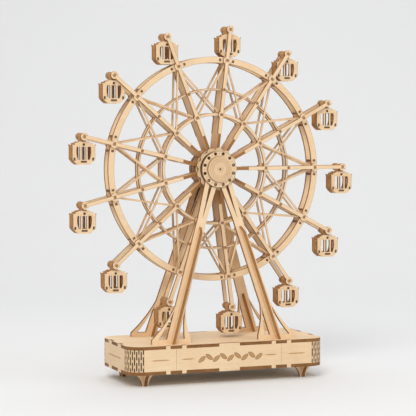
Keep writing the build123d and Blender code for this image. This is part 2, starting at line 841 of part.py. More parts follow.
with BuildPart() as drive_gear:
    with BuildSketch(wheel_plane(rear, spoke_outer_face)):
        gear_outline(wheel_teeth, 90)
        Circle(axle_radius + glue_fit, mode=Mode.SUBTRACT)
    extrude(amount=gear_sheet)

with BuildPart() as pinion:
    with BuildSketch(shaft_plane(spoke_outer_face)):
        gear_outline(pinion_teeth, 90 + 180 / pinion_teeth)
        Circle(crank_shaft_radius + glue_fit, mode=Mode.SUBTRACT)
    extrude(amount=gear_sheet)

# ---- Crank, at the back ----

shaft_leg_face = leg_head_face - shaft_z * tan(leg_lean)
sleeve_end = shaft_leg_face - crank_sleeve_radius * tan(leg_lean) - running_fit
arm_inner_face = max(
    cap_face, shaft_leg_face + crank_sleeve_radius * tan(leg_lean) + crank_plate_sheet / cos(leg_lean)
)
arm_inner_face += crank_arm_gap
arm_outer_face = arm_inner_face + crank_arm_sheet
handle_start = arm_outer_face + running_fit
handle_end = handle_start + handle_length

with BuildPart() as crank_bearing_plate:
    with BuildSketch(leg_plane(rear)):
        with Locations((0, along_leg_sheet(shaft_height))):
            RectangleRounded(crank_plate_length, crank_plate_height, crank_plate_height / 4)
    extrude(amount=crank_plate_sheet)
    with BuildSketch(shaft_plane(0)):
        Circle(crank_shaft_radius + running_fit)
    extrude(amount=arm_outer_face, mode=Mode.SUBTRACT)

with BuildPart() as crank_shaft:
    with BuildSketch(shaft_plane(spoke_outer_face)):
        Circle(crank_shaft_radius)
    extrude(amount=arm_outer_face - spoke_outer_face)

with BuildPart() as crank_sleeve:
    with BuildSketch(shaft_plane(spoke_outer_face + gear_sheet)):
        Circle(crank_sleeve_radius)
        Circle(crank_shaft_radius + glue_fit, mode=Mode.SUBTRACT)
    extrude(amount=sleeve_end - spoke_outer_face - gear_sheet)

with BuildPart() as crank_arm:
    with BuildSketch(shaft_plane(arm_inner_face)):
        bar((0, 0), (0, crank_throw), crank_arm_width)
        with Locations((0, 0), (0, crank_throw)):
            Circle(crank_arm_width / 2)
        Circle(crank_shaft_radius + glue_fit, mode=Mode.SUBTRACT)
        with Locations((0, crank_throw)):
            Circle(handle_pin_radius + glue_fit, mode=Mode.SUBTRACT)
    extrude(amount=crank_arm_sheet)

with BuildPart() as handle_pin:
    with BuildSketch(shaft_plane(arm_inner_face)):
        with Locations((0, crank_throw)):
            Circle(handle_pin_radius)
    extrude(amount=handle_end + running_fit - arm_inner_face)
    with BuildSketch(shaft_plane(handle_end + running_fit)):
        with Locations((0, crank_throw)):
            Circle(handle_pin_head)
    extrude(amount=handle_pin_head_length)

with BuildPart() as crank_handle:
    with BuildSketch(shaft_plane(handle_start)):
        with Locations((0, crank_throw)):
            Circle(handle_radius)
            Circle(handle_pin_radius + running_fit, mode=Mode.SUBTRACT)
    extrude(amount=handle_length)
    chamfer(crank_handle.edges().filter_by(GeomType.CIRCLE).sort_by(SortBy.RADIUS)[-2:], length=0.8)

# ---- Cabins, each drawn about its own pin ----

shoulder_z = -cabin_top - cabin_shoulder_drop
chamfer_top = -cabin_drop + cabin_chamfer_height
window_top = shoulder_z - cabin_window_drop
window_bottom = -cabin_drop + cabin_window_sill
side_wall_x = cabin_width / 2 - cabin_wall_inset
floor_top = -cabin_drop + cabin_floor_rise
side_wall_top = shoulder_z - 2.1
side_wall_bottom = chamfer_top - 1.1
roof_bottom = shoulder_z - 0.5


def half_panel_outline():
    """Right half of a cabin panel: sloping top, two eaves that hook up, straight side, cut corner."""
    half, bottom_half = cabin_width / 2, cabin_floor_width / 2
    eave = half - cabin_eave_inset
    eave_z = -cabin_top - cabin_shoulder_drop * 0.5
    return [
        (0, -cabin_top),
        (cabin_crown_width / 2, -cabin_top),
        (eave - cabin_ear, eave_z),
        (eave + cabin_ear, eave_z + cabin_ear / 2),
        (eave + cabin_ear, eave_z - cabin_ear),
        (eave, shoulder_z + cabin_ear),
        (half - cabin_ear, shoulder_z),
        (half + cabin_ear, shoulder_z + cabin_ear),
        (half + cabin_ear, shoulder_z - cabin_ear),
        (half, shoulder_z - 2 * cabin_ear),
        (half, chamfer_top),
        ((half + bottom_half + cabin_ear) / 2, (chamfer_top - cabin_drop - cabin_ear) / 2),
        (bottom_half, -cabin_drop),
        (0, -cabin_drop),
    ]


def cabin_panel(side):
    """Front or rear panel with three windows, an eye above them and slots for the inner plates."""
    window_height = window_top - window_bottom
    side_window = cabin_middle_window / 2 + cabin_window_bar
    with BuildPart() as panel:
        with BuildSketch(upright_plane(side, cabin_inside)):
            right_half = half_panel_outline()
            with BuildLine():
                Polyline(*right_half)
                Polyline(*[(-x, z) for x, z in right_half])
            make_face()
            with Locations((0, (window_top + window_bottom) / 2)):
                Rectangle(cabin_middle_window, window_height, mode=Mode.SUBTRACT)
            for hand in (left, right):
                with BuildLine():
                    Polyline(
                        (hand * (side_window + cabin_side_window_head), window_top),
                        (hand * side_window, window_top),
                        (hand * side_window, window_bottom),
                        (hand * (side_window + cabin_side_window_foot), window_bottom),
                    )
                    ThreePointArc(
                        (hand * (side_window + cabin_side_window_foot), window_bottom),
                        (hand * (side_window + cabin_side_window_bulge), (window_top - window_height * 0.4)),
                        (hand * (side_window + cabin_side_window_head), window_top),
                    )
                make_face(mode=Mode.SUBTRACT)
            with Locations((0, (floor_top - cabin_sheet / 2))):
                Rectangle(cabin_floor_tab + 2 * glue_fit, cabin_sheet + 2 * glue_fit, mode=Mode.SUBTRACT)
            tab_middle = side_wall_bottom + cabin_wall_tab / 2
            with Locations((-side_wall_x, tab_middle), (side_wall_x, tab_middle)):
                Rectangle(cabin_sheet + 2 * glue_fit, cabin_wall_tab + 2 * glue_fit, mode=Mode.SUBTRACT)
            with Locations((0, (window_top + cabin_eye_rise))):
                Circle(cabin_eye_radius, mode=Mode.SUBTRACT)
        extrude(amount=cabin_sheet)
    return panel.part


with BuildPart() as cabin_floor:
    with BuildSketch(Plane.XY.offset(floor_top - cabin_sheet)):
        Rectangle(cabin_inner_floor_width, 2 * cabin_inside)
        Rectangle(cabin_floor_tab, 2 * cabin_face)
    extrude(amount=cabin_sheet)


def cabin_side_wall(hand):
    """Side wall with a window, and tabs at its foot into both panels."""
    with BuildPart() as wall:
        with BuildSketch(Plane.YZ.offset(hand * side_wall_x)):
            with Locations((0, (side_wall_top + side_wall_bottom) / 2)):
                Rectangle(2 * cabin_inside, side_wall_top - side_wall_bottom)
            with Locations((0, side_wall_bottom + cabin_wall_tab / 2)):
                Rectangle(2 * cabin_face, cabin_wall_tab)
            with Locations((0, side_wall_top - 4.6)):
                RectangleRounded(cabin_inside * 0.8, cabin_wall_window, 0.6, mode=Mode.SUBTRACT)
        extrude(amount=cabin_sheet / 2, both=True)
    return wall.part


def cabin_slant(hand):
    """Sloping plate along the cut lower corner, between the side wall and the floor."""
    run, rise = cabin_floor_width / 2 - cabin_width / 2, -cabin_chamfer_height
    length = hypot(run, rise)
    inset = cabin_sheet
    shift = (rise / length * inset, -run / length * inset)
    first = (cabin_width / 2 + run * 0.45 + shift[0], chamfer_top + rise * 0.45 + shift[1])
    last = (cabin_floor_width / 2 + shift[0], -cabin_drop + shift[1])
    with BuildPart() as slant:
        with BuildSketch(Plane.XZ):
            bar((hand * first[0], first[1]), (hand * last[0], last[1]), cabin_sheet)
        extrude(amount=cabin_inside, both=True)
    return slant.part


lug_inside = cabin_inside - cabin_sheet

with BuildPart() as cabin_roof:
    with BuildSketch(Plane.XY.offset(roof_bottom)):
        Rectangle(cabin_roof_width, 2 * cabin_inside)
        for edge in (-cabin_inside, cabin_inside):
            with Locations((0, edge)):
                Rectangle(lug_width + 2 * glue_fit, 2 * (cabin_sheet + glue_fit), mode=Mode.SUBTRACT)
    extrude(amount=cabin_sheet)


def cabin_lug(side):
    """Hanger lug inside one panel, with the running hole for the pin."""
    lug_foot = window_top + 0.6
    with BuildPart() as lug:
        with BuildSketch(Plane.XZ.offset(side * lug_inside)):
            Circle(lug_radius)
            bar((0, 0), (0, lug_foot), lug_width)
            Circle(cabin_pin_radius + running_fit, mode=Mode.SUBTRACT)
        extrude(amount=side * cabin_sheet)
    return lug.part


cabin_pieces = [
    cabin_panel(front),
    cabin_panel(rear),
    cabin_floor.part,
    cabin_side_wall(left),
    cabin_side_wall(right),
    cabin_slant(left),
    cabin_slant(right),
    cabin_roof.part,
    cabin_lug(front),
    cabin_lug(rear),
]


def both_hands(make, side):
    """The left and right pieces of one side, kept apart as two solids."""
    return Compound(children=[make(side, left), make(side, right)])


finished = {
    "base_bottom_plate": base_bottom_plate.part,
    "base_top_plate": base_top_plate.part,
    "base_front_panel": centre_panel(front),
    "base_rear_panel": centre_panel(rear),
    "base_left_wrap": wrap_panel(left),
    "base_right_wrap": wrap_panel(right),
    "base_cross_walls": base_cross_walls.part,
    "foot_plates": foot_plates.part,
    "foot_ribs": foot_ribs.part,
    "front_left_leg": leg_plate(front, left),
    "front_right_leg": leg_plate(front, right),
    "rear_left_leg": leg_plate(rear, left),
    "rear_right_leg": leg_plate(rear, right),
    "front_leg_ribs": both_hands(leg_rib, front),
    "rear_leg_ribs": both_hands(leg_rib, rear),
    "front_flange": hub_flange(front),
    "rear_flange": hub_flange(rear),
    "front_cap": hub_cap(front),
    "rear_cap": hub_cap(rear),
    "flange_pegs": flange_pegs.part,
    "axle": axle.part,
    "front_hub_disc": front_hub_disc.part,
    "front_hub_plate": hub_plate(front),
    "rear_hub_plate": hub_plate(rear),
    "drive_gear": drive_gear.part,
    "spoke_ribs": spoke_ribs.part,
    "front_spokes": spokes(front),
    "rear_spokes": spokes(rear),
    "front_rim": rim_segments(front),
    "rear_rim": rim_segments(rear),
    "rim_ties": rim_ties.part,
    "front_inner_ring": inner_ring(front),
    "rear_inner_ring": inner_ring(rear),
    "front_middle_ring": middle_ring(front),
    "rear_middle_ring": middle_ring(rear),
    "front_braces": braces(front),
    "rear_braces": braces(rear),
    "joint_pins": joint_pins.part,
    "cabin_pins": cabin_pins.part,
    "pin_discs": pin_discs.part,
    "crank_bearing_plate": crank_bearing_plate.part,
    "crank_shaft": crank_shaft.part,
    "crank_sleeve": crank_sleeve.part,
    "pinion": pinion.part,
    "crank_arm": crank_arm.part,
    "handle_pin": handle_pin.part,
    "crank_handle": crank_handle.part,
}
for index in range(spoke_count):
    place = Location(pivot_place(index))
    finished[f"cabin_{index + 1:02d}"] = Compound(children=[piece.moved(place) for piece in cabin_pieces])

for name, piece in finished.items():
    piece.label = name
    export_step(piece, f"parts/{name}.step")

print(f"hub height {hub_z:.2f}, pivot circle {pivot_radius:.2f}, leg lean {degrees(leg_lean):.2f} degrees")
print(f"crank shaft height {shaft_height:.2f}, handle ends {handle_end:.2f} behind the middle")
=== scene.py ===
import json
from math import cos, pi, radians, sin

import bmesh
import bpy
from mathutils import Matrix, Vector


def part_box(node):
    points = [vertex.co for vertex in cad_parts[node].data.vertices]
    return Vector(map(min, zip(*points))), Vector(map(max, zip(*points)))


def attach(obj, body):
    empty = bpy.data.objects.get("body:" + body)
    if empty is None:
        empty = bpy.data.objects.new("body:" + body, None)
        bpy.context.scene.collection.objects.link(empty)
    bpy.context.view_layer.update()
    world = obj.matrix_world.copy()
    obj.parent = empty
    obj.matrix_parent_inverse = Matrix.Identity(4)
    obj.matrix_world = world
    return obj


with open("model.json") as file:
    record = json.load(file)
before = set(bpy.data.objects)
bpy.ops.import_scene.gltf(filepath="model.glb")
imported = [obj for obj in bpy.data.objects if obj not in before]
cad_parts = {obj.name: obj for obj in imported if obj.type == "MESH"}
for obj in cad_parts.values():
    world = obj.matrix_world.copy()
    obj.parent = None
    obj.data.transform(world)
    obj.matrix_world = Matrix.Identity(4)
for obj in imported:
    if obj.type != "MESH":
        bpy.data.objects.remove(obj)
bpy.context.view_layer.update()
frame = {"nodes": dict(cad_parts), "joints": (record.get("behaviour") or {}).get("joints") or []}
nodes = frame["nodes"]
mm = 0.001

hubHeight = sum(corner[2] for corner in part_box("front_cap")) / 2
panelLow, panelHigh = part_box("base_front_panel")
baseLow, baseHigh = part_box("base_top_plate")

print("stage: frame loaded,", len(nodes), "nodes, hub at", round(hubHeight * 1000, 2), "mm")


def link(tree, source, target):
    tree.links.new(source, target)


def mathNode(tree, operation, first, second=None, third=None, clamp=False):
    node = tree.nodes.new("ShaderNodeMath")
    node.operation = operation
    node.use_clamp = clamp
    for socket, value in zip(node.inputs, (first, second, third)):
        if value is None:
            continue
        if isinstance(value, (int, float)):
            socket.default_value = value
        else:
            link(tree, value, socket)
    return node.outputs[0]


def plus(tree, first, second):
    return mathNode(tree, "ADD", first, second)


def minus(tree, first, second, clamp=False):
    return mathNode(tree, "SUBTRACT", first, second, clamp=clamp)


def times(tree, first, second):
    return mathNode(tree, "MULTIPLY", first, second)


def over(tree, first, second, clamp=False):
    return mathNode(tree, "DIVIDE", first, second, clamp=clamp)


def absolute(tree, value):
    return mathNode(tree, "ABSOLUTE", value)


def vectorMath(tree, operation, first, second=None):
    node = tree.nodes.new("ShaderNodeVectorMath")
    node.operation = operation
    for socket, value in zip(node.inputs, (first, second)):
        if value is None:
            continue
        if isinstance(value, (tuple, list)):
            socket.default_value = value
        else:
            link(tree, value, socket)
    return node


def mixColour(tree, factor, first, second):
    node = tree.nodes.new("ShaderNodeMix")
    node.data_type = "RGBA"
    for place, value in ((0, factor), (6, first), (7, second)):
        socket = node.inputs[place]
        if isinstance(value, (int, float)):
            socket.default_value = value
        elif isinstance(value, tuple):
            socket.default_value = (*value, 1.0)
        else:
            link(tree, value, socket)
    return node.outputs[2]


def rampNode(tree, factor, stops):
    node = tree.nodes.new("ShaderNodeValToRGB")
    ramp = node.color_ramp
    while len(ramp.elements) < len(stops):
        ramp.elements.new(0.5)
    for element, (place, shade) in zip(ramp.elements, stops):
        element.position = place
        element.color = (*shade, 1.0) if isinstance(shade, tuple) else (shade, shade, shade, 1.0)
    link(tree, factor, node.inputs[0])
    return node.outputs[0]


def noiseNode(tree, vector, scale, detail=4.0, roughness=0.55, distortion=0.0):
    node = tree.nodes.new("ShaderNodeTexNoise")
    link(tree, vector, node.inputs["Vector"])
    node.inputs["Scale"].default_value = scale
    node.inputs["Detail"].default_value = detail
    node.inputs["Roughness"].default_value = roughness
    node.inputs["Distortion"].default_value = distortion
    return node.outputs["Fac"]


def mappingNode(tree, vector, scale, turn=(0, 0, 0)):
    node = tree.nodes.new("ShaderNodeMapping")
    link(tree, vector, node.inputs["Vector"])
    node.inputs["Rotation"].default_value = turn
    node.inputs["Scale"].default_value = scale
    return node.outputs["Vector"]


def separate(tree, vector):
    node = tree.nodes.new("ShaderNodeSeparateXYZ")
    link(tree, vector, node.inputs[0])
    return node.outputs


# 1 inside a line of the given half width, falling to 0 over the soft distance
def band(tree, value, centre, half, soft):
    offset = absolute(tree, minus(tree, value, centre))
    return over(tree, minus(tree, half + soft, offset), soft, clamp=True)


def boxMask(tree, first, second, centre, halves, soft=0.12 * mm):
    one = band(tree, first, centre[0], halves[0], soft)
    return times(tree, one, band(tree, second, centre[1], halves[1], soft))


def strongest(tree, masks):
    result = masks[0]
    for mask in masks[1:]:
        result = mathNode(tree, "MAXIMUM", result, mask)
    return result


def shaderGroup(name, inputs, outputs):
    group = bpy.data.node_groups.new(name, "ShaderNodeTree")
    for label, kind, value in inputs:
        socket = group.interface.new_socket(label, in_out="INPUT", socket_type=kind)
        if value is not None:
            socket.default_value = value
    for label, kind in outputs:
        group.interface.new_socket(label, in_out="OUTPUT", socket_type=kind)
    return group, group.nodes.new("NodeGroupInput"), group.nodes.new("NodeGroupOutput")


# colours shared by every sheet of birch plywood
birchLook = {
    "paleFace": (0.93, 0.73, 0.485),
    "warmFace": (0.75, 0.49, 0.265),
    "greyFleck": (0.58, 0.385, 0.22),
    "burntEdge": (0.235, 0.092, 0.024),
    "darkEdge": (0.06, 0.024, 0.009),
    "coreEdge": (0.47, 0.215, 0.06),
    # black painted as shade where the flange's holes show the parts behind
    "holeShadeBlack": (0.02, 0.009, 0.004),
}

# how fine each kind of unevenness is, from clouds across a sheet to specks of ink
noiseScale = {
    "cloud": 22.0, "rings": 38.0, "pores": 160.0, "streaks": 520.0, "smoke": 75.0,
    "braceSmoke": 60.0, "ink": 700.0,
}
plyThickness = 1.0 * mm
haloLook = {"reach": 0.55 * mm, "soft": 0.35 * mm}

# how squarely a surface looks along its sheet's thickness where an edge ends and a face begins
faceStops = [(0.6, 0.0), (0.8, 1.0)]


# lays a burnt tone over a colour where the mask says
def burn(tree, mask, amount, colour, shade):
    return mixColour(tree, times(tree, mask, amount), colour, birchLook[shade])


def makeBirchFace():
    group, given, out = shaderGroup(
        "birchFace",
        [
            ("Grain Place", "NodeSocketVector", None),
            ("Warmth", "NodeSocketFloat", 0.5),
            ("Grain Strength", "NodeSocketFloat", 0.6),
        ],
        [
            ("Color", "NodeSocketColor"),
            ("Height", "NodeSocketFloat"),
            ("Roughness", "NodeSocketFloat"),
        ],
    )
    place = given.outputs["Grain Place"]
    cloud = noiseNode(group, place, noiseScale["cloud"], 3.0, 0.6)
    ringPlace = mappingNode(group, place, (1.0, 16.0, 16.0))
    rings = noiseNode(group, ringPlace, noiseScale["rings"], 5.0, 0.62, 0.35)
    porePlace = mappingNode(group, place, (1.0, 26.0, 26.0))
    pores = noiseNode(group, porePlace, noiseScale["pores"], 2.0, 0.5)
    tone = plus(group, times(group, cloud, 0.9), times(group, rings, 0.7))
    tone = plus(group, tone, times(group, given.outputs["Warmth"], 0.42))
    tone = minus(group, tone, 0.62, clamp=True)
    base = mixColour(group, tone, birchLook["paleFace"], birchLook["warmFace"])
    fleck = rampNode(group, pores, [(0.56, 0.0), (0.72, 1.0)])
    fleckAmount = times(group, fleck, times(group, given.outputs["Grain Strength"], 0.5))
    colour = mixColour(group, fleckAmount, base, birchLook["greyFleck"])
    link(group, colour, out.inputs["Color"])
    height = mathNode(group, "MULTIPLY_ADD", fleck, -0.4, times(group, rings, 0.7))
    link(group, height, out.inputs["Height"])
    link(group, mathNode(group, "MULTIPLY_ADD", rings, 0.16, 0.5), out.inputs["Roughness"])
    return group


def makeBurntEdge():
    group, given, out = shaderGroup(
        "burntEdge",
        [
            ("Place", "NodeSocketVector", None),
            ("Depth", "NodeSocketFloat", 0.0),
            ("Char", "NodeSocketFloat", 0.5),
        ],
        [("Color", "NodeSocketColor"), ("Height", "NodeSocketFloat")],
    )
    streaks = noiseNode(group, given.outputs["Place"], noiseScale["streaks"], 3.0, 0.6)
    smoke = noiseNode(group, given.outputs["Place"], noiseScale["smoke"], 3.0, 0.6)
    char = plus(group, times(group, streaks, 0.5), times(group, smoke, 0.7))
    char = plus(group, char, given.outputs["Char"])
    char = minus(group, char, 0.62, clamp=True)
    # the sheet's plies show as thin lines along the cut
    plies = mathNode(group, "SINE", times(group, given.outputs["Depth"], 2 * pi / plyThickness))
    plies = mathNode(group, "MULTIPLY_ADD", plies, 0.5, 0.5)
    plyMask = rampNode(group, plies, [(0.35, 0.0), (0.65, 1.0)])
    core = burn(group, plyMask, 0.55, birchLook["coreEdge"], "burntEdge")
    link(group, mixColour(group, char, core, birchLook["darkEdge"]), out.inputs["Color"])
    link(group, plus(group, times(group, plyMask, 0.4), streaks), out.inputs["Height"])
    return group


# a point's place in the wheel's plane, seen from the hub
def fromHub(tree, place):
    offset = vectorMath(tree, "SUBTRACT", place, (0, 0, hubHeight)).outputs["Vector"]
    x, _, z = separate(tree, offset)
    return x, z


# where a point lies along and beside its nearest spoke, and how far out it is
def makeWheelPlace():
    group, given, out = shaderGroup(
        "wheelPlace",
        [("Place", "NodeSocketVector", None)],
        [("Out", "NodeSocketFloat"), ("Across", "NodeSocketFloat"), ("Radius", "NodeSocketFloat"),
         ("Spoke", "NodeSocketFloat"), ("Sine", "NodeSocketFloat"), ("Cosine", "NodeSocketFloat")],
    )
    x, z = fromHub(group, given.outputs["Place"])
    step = 2 * pi / wheelLook["spokes"]
    turned = minus(group, mathNode(group, "ARCTAN2", x, z), wheelLook["firstTurn"])
    spoke = mathNode(group, "ROUND", over(group, turned, step))
    middle = mathNode(group, "MULTIPLY_ADD", spoke, step, wheelLook["firstTurn"])
    sine, cosine = mathNode(group, "SINE", middle), mathNode(group, "COSINE", middle)
    along = plus(group, times(group, x, sine), times(group, z, cosine))
    beside = minus(group, times(group, x, cosine), times(group, z, sine))
    square = plus(group, times(group, x, x), times(group, z, z))
    radius = mathNode(group, "SQRT", square)
    for label, value in (
        ("Out", along), ("Across", beside), ("Radius", radius),
        ("Spoke", spoke), ("Sine", sine), ("Cosine", cosine),
    ):
        link(group, value, out.inputs[label])
    return group


# the scorched ring that a laser leaves around each pin hole
def makePinHalo():
    group, given, out = shaderGroup(
        "pinHalo",
        [("Out", "NodeSocketFloat", 0.0), ("Across", "NodeSocketFloat", 0.0),
         ("Pin Place", "NodeSocketFloat", 0.1), ("Pin Radius", "NodeSocketFloat", 0.001)],
        [("Mask", "NodeSocketFloat")],
    )
    along = minus(group, given.outputs["Out"], given.outputs["Pin Place"])
    beside = given.outputs["Across"]
    square = plus(group, times(group, along, along), times(group, beside, beside))
    beyond = minus(group, mathNode(group, "SQRT", square), given.outputs["Pin Radius"])
    near = over(group, minus(group, haloLook["reach"], beyond), haloLook["soft"], clamp=True)
    link(group, near, out.inputs["Mask"])
    return group


wheelLook = {
    "spokes": 13,
    "firstTurn": radians(6.5),
    "rings": (50 * mm, 73 * mm, 100 * mm),
    "ringHalves": (1.3 * mm, 0.9 * mm, 2.8 * mm),
    "pinRadius": 1.1 * mm,
    "discEdge": 2.45 * mm,
    "spokeOutline": 1.7 * mm,
    # ribs are browner towards the hub: the burn ends at the reach and grows over the fade
    "burnReach": 62 * mm,
    "burnFade": 50 * mm,
}
birchFace = makeBirchFace()
burntEdge = makeBurntEdge()
wheelPlace = makeWheelPlace()
pinHalo = makePinHalo()


def placeGroup(tree, group, **values):
    node = tree.nodes.new("ShaderNodeGroup")
    node.node_tree = group
    for label, value in values.items():
        socket = node.inputs[label.replace("_", " ")]
        if isinstance(value, (int, float)):
            socket.default_value = value
        else:
            link(tree, value, socket)
    return node


def birch(tree, place, warmth, grain):
    return placeGroup(tree, birchFace, Grain_Place=place, Warmth=warmth, Grain_Strength=grain)


def burnt(tree, place, depth, char):
    return placeGroup(tree, burntEdge, Place=place, Depth=depth, Char=char)


def halo(tree, out, across, pinPlace, pinRadius):
    values = {"Out": out, "Across": across, "Pin_Place": pinPlace, "Pin_Radius": pinRadius}
    return placeGroup(tree, pinHalo, **values).outputs["Mask"]


def wheelAt(tree, coords):
    return placeGroup(tree, wheelPlace, Place=coords.outputs["Object"]).outputs


def startMaterial(name, roughness=0.55):
    material = bpy.data.materials.new(name)
    material.use_nodes = True
    tree = material.node_tree
    shader = tree.nodes["Principled BSDF"]
    shader.inputs["Roughness"].default_value = roughness
    shader.inputs["Specular IOR Level"].default_value = 0.32
    coords = tree.nodes.new("ShaderNodeTexCoord")
    return material, tree, shader, coords


def finishWood(tree, shader, colour, height, roughness, bump):
    link(tree, colour, shader.inputs["Base Color"])
    link(tree, roughness, shader.inputs["Roughness"])
    node = tree.nodes.new("ShaderNodeBump")
    node.inputs["Strength"].default_value = bump
    node.inputs["Distance"].default_value = 0.12 * mm
    link(tree, height, node.inputs["Height"])
    link(tree, node.outputs["Normal"], shader.inputs["Normal"])


# how squarely a surface faces along the sheet's own thickness, 0 on a cut edge and 1 on a face
def faceAcross(tree, coords, axis):
    facing = vectorMath(tree, "DOT_PRODUCT", coords.outputs["Normal"], axis).outputs["Value"]
    return absolute(tree, facing)


# plywood whose faces look along axis. The cut edges are burnt, with the plies as lines along them
def plywoodMaterial(
    name, axis, grainTurn=(0, 0, 0), warmth=0.5, char=0.35, grain=0.6, marks=None
):
    material, tree, shader, coords = startMaterial(name)
    place = coords.outputs["Object"]
    face = birch(tree, mappingNode(tree, place, (1, 1, 1), grainTurn), warmth, grain)
    depth = vectorMath(tree, "DOT_PRODUCT", place, axis).outputs["Value"]
    edge = burnt(tree, place, depth, char)
    facing = rampNode(tree, faceAcross(tree, coords, axis), [(0.55, 0.0), (0.8, 1.0)])
    colour = face.outputs["Color"]
    if marks:
        colour = marks(tree, coords, colour)
    colour = mixColour(tree, facing, edge.outputs["Color"], colour)
    heightMix = tree.nodes.new("ShaderNodeMix")
    link(tree, facing, heightMix.inputs[0])
    link(tree, edge.outputs["Height"], heightMix.inputs[2])
    link(tree, face.outputs["Height"], heightMix.inputs[3])
    finishWood(tree, shader, colour, heightMix.outputs[0], face.outputs["Roughness"], 0.35)
    return material


alongX, alongY, alongZ = (1, 0, 0), (0, 1, 0), (0, 0, 1)
quarterTurn = (0, 0, radians(90))


def assign(material, *names):
    for name in names:
        piece = nodes[name]
        if not piece.material_slots:
            piece.data.materials.append(material)
        for slot in piece.material_slots:
            slot.link = "OBJECT"
            slot.material = material


baseLook = {
    "warmth": 0.42,
    "grain": 0.75,
    "bendRadius": 14 * mm,
    "markHeight": 23.75 * mm,
    "markHalf": 0.75 * mm,
    "markTaper": 5 * mm,
    # middle and half length of each engraved line
    "panelLines": [(-40 * mm, 8 * mm), (40.5 * mm, 7.5 * mm)],
    "wrapLines": [(66 * mm, 10.5 * mm)],
    "endLines": [(0, 20 * mm)],
}
basePlateWood = plywoodMaterial("basePlateWood", alongZ, warmth=0.5, char=0.5, grain=0.8)
assign(basePlateWood, "base_top_plate", "base_bottom_plate")


# a burnt line along the base with tapered ends, one per middle and half length
def burntLines(tree, along, height, lines):
    masks = []
    for middle, half in lines:
        offset = absolute(tree, minus(tree, along, middle))
        taper = over(tree, minus(tree, half, offset), baseLook["markTaper"], clamp=True)
        reach = times(tree, taper, baseLook["markHalf"])
        away = absolute(tree, minus(tree, height, baseLook["markHeight"]))
        masks.append(over(tree, minus(tree, reach, away), 0.35 * mm, clamp=True))
    return strongest(tree, masks)


# the laser's heat leaves the face tan beside the panel's upper and lower edge
def panelMarks(tree, coords, colour):
    x, _, z = separate(tree, coords.outputs["Object"])
    lines = burntLines(tree, x, z, baseLook["panelLines"])
    rims = minus(tree, absolute(tree, minus(tree, z, baseMiddle)), panelHalf - 0.5 * mm)
    rims = over(tree, rims, 0.4 * mm, clamp=True)
    colour = burn(tree, rims, 0.5, colour, "burntEdge")
    return burn(tree, lines, 0.75, colour, "coreEdge")


baseMiddle = (panelLow[2] + panelHigh[2]) / 2
panelHalf = (panelHigh[2] - panelLow[2]) / 2
panelWood = plywoodMaterial(
    "panelWood", alongY, warmth=0.38, char=0.38, grain=0.75, marks=panelMarks
)
assign(panelWood, "base_front_panel", "base_rear_panel")
crossWallWood = plywoodMaterial("crossWallWood", alongX, quarterTurn, warmth=0.5)
assign(crossWallWood, "base_cross_walls")
assign(plywoodMaterial("footPlateWood", alongY, warmth=0.95, char=0.6), "foot_plates")
assign(plywoodMaterial("footRibWood", alongX, quarterTurn, warmth=0.95, char=0.6), "foot_ribs")


# the bent panels are pale where they are flat and burnt at their slits and edges
def wrapMaterial(name):
    material, tree, shader, coords = startMaterial(name)
    at = coords.outputs["Object"]
    x, y, z = separate(tree, at)
    normal = coords.outputs["Normal"]
    face = birch(tree, at, baseLook["warmth"], baseLook["grain"])
    edge = burnt(tree, at, plus(tree, x, y), 0.5)
    # outward is square to the box's flat sides, and leaves the corner's centre at a bend
    combine = tree.nodes.new("ShaderNodeCombineXYZ")
    halves = [(high - low) / 2 for low, high in zip(baseLow, baseHigh)]
    bent = []
    for place, (value, half) in enumerate(((x, halves[0]), (y, halves[1]))):
        beyond = minus(tree, absolute(tree, value), half - baseLook["bendRadius"])
        push = mathNode(tree, "MAXIMUM", beyond, 0.0)
        link(tree, times(tree, push, mathNode(tree, "SIGN", value)), combine.inputs[place])
        bent.append(mathNode(tree, "GREATER_THAN", beyond, 0.0))
    outward = vectorMath(tree, "NORMALIZE", combine.outputs[0]).outputs["Vector"]
    facing = absolute(tree, vectorMath(tree, "DOT_PRODUCT", normal, outward).outputs["Value"])
    facing = rampNode(tree, facing, [(0.6, 0.0), (0.85, 1.0)])
    colour = face.outputs["Color"]
    # the bends are singed where the slits crowd together
    colour = burn(tree, times(tree, *bent), 0.22, colour, "burntEdge")
    onFront = mathNode(tree, "GREATER_THAN", absolute(tree, y), halves[1] - 1 * mm)
    lines = times(tree, onFront, burntLines(tree, absolute(tree, x), z, baseLook["wrapLines"]))
    onEnd = mathNode(tree, "GREATER_THAN", absolute(tree, x), halves[0] - 1 * mm)
    ends = times(tree, onEnd, burntLines(tree, y, z, baseLook["endLines"]))
    colour = burn(tree, strongest(tree, [lines, ends]), 0.75, colour, "coreEdge")
    colour = mixColour(tree, facing, edge.outputs["Color"], colour)
    finishWood(tree, shader, colour, face.outputs["Height"], face.outputs["Roughness"], 0.3)
    return material


assign(wrapMaterial("wrapWood"), "base_left_wrap", "base_right_wrap")


def geometryTree(name, inputs):
    tree = bpy.data.node_groups.new(name, "GeometryNodeTree")
    tree.interface.new_socket("Geometry", in_out="OUTPUT", socket_type="NodeSocketGeometry")
    for label, kind, value in inputs:
        socket = tree.interface.new_socket(label, in_out="INPUT", socket_type=kind)
        if value is not None:
            socket.default_value = value
    return tree, tree.nodes.new("NodeGroupInput"), tree.nodes.new("NodeGroupOutput")


def geoNode(tree, kind, **values):
    node = tree.nodes.new("GeometryNode" + kind)
    for label, value in values.items():
        socket = node.inputs[label.replace("_", " ")]
        if isinstance(value, bpy.types.NodeSocket):
            link(tree, value, socket)
        else:
            socket.default_value = value
    return node


